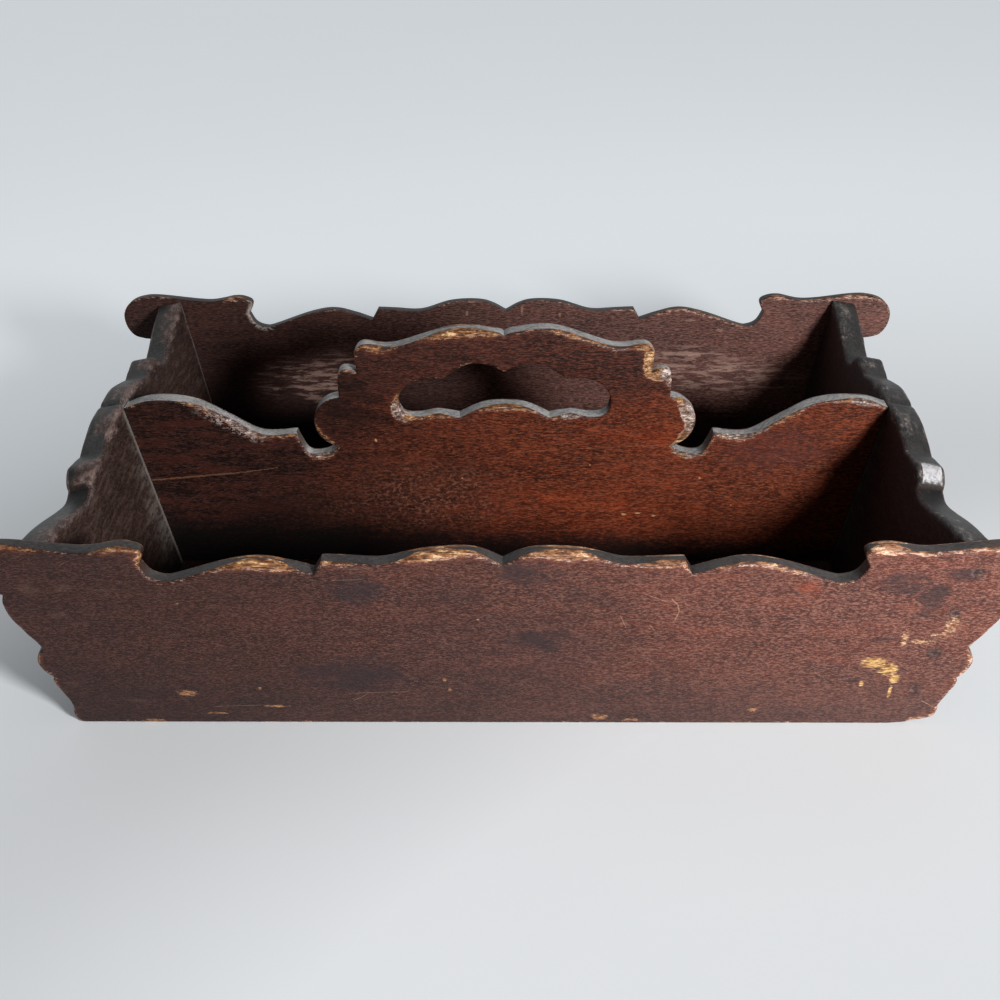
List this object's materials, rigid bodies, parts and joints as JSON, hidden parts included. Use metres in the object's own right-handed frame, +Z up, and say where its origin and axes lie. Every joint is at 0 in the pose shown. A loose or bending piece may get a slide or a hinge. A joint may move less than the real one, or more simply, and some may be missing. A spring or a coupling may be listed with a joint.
{
  "type": "divided wooden box",
  "caption": "Splayed wooden tray with scrolled sides and ends, parted into long compartments by an upright board whose raised middle is pierced as a carrying handle.",
  "frame": {"origin": "middle of the underside, at the height that the tray stands on", "axes": "+X along the length towards the right end, +Y towards the back long side, +Z up"},
  "size_m": [0.4154, 0.2544, 0.1287],
  "materials": {
    "side_wood": "old wax and shellac polish, dark red-brown, rubbed bare along the top edges",
    "end_wood": "old wax and shellac polish, darker and duller than the sides, rubbed on the beads",
    "floor_wood": "dull, unpolished underneath",
    "divider_wood": "old polish, warm orange-brown, worn pale around the handle",
    "brad_iron": "dark iron, rusted dull"
  },
  "bodies": {
    "root": {"front_board": "side_wood", "back_board": "side_wood", "right_end": "end_wood", "left_end": "end_wood", "floor_board": "floor_wood", "divider": "divider_wood", "front_left_corner_brad_1": "brad_iron", "front_left_corner_brad_2": "brad_iron", "front_left_corner_brad_3": "brad_iron", "front_left_corner_brad_4": "brad_iron", "front_right_corner_brad_1": "brad_iron", "front_right_corner_brad_2": "brad_iron", "front_right_corner_brad_3": "brad_iron", "front_right_corner_brad_4": "brad_iron", "back_left_corner_brad_1": "brad_iron", "back_left_corner_brad_2": "brad_iron", "back_left_corner_brad_3": "brad_iron", "back_left_corner_brad_4": "brad_iron", "back_right_corner_brad_1": "brad_iron", "back_right_corner_brad_2": "brad_iron", "back_right_corner_brad_3": "brad_iron", "back_right_corner_brad_4": "brad_iron", "front_floor_brad_1": "brad_iron", "front_floor_brad_2": "brad_iron", "front_floor_brad_3": "brad_iron", "front_floor_brad_4": "brad_iron", "back_floor_brad_1": "brad_iron", "back_floor_brad_2": "brad_iron", "back_floor_brad_3": "brad_iron", "back_floor_brad_4": "brad_iron", "left_floor_brad_1": "brad_iron", "left_floor_brad_2": "brad_iron", "left_floor_brad_3": "brad_iron", "right_floor_brad_1": "brad_iron", "right_floor_brad_2": "brad_iron", "right_floor_brad_3": "brad_iron", "left_divider_brad_1": "brad_iron", "left_divider_brad_2": "brad_iron", "left_divider_brad_3": "brad_iron", "right_divider_brad_1": "brad_iron", "right_divider_brad_2": "brad_iron", "right_divider_brad_3": "brad_iron", "under_divider_brad_1": "brad_iron", "under_divider_brad_2": "brad_iron", "under_divider_brad_3": "brad_iron"}
  },
  "joints": []
}
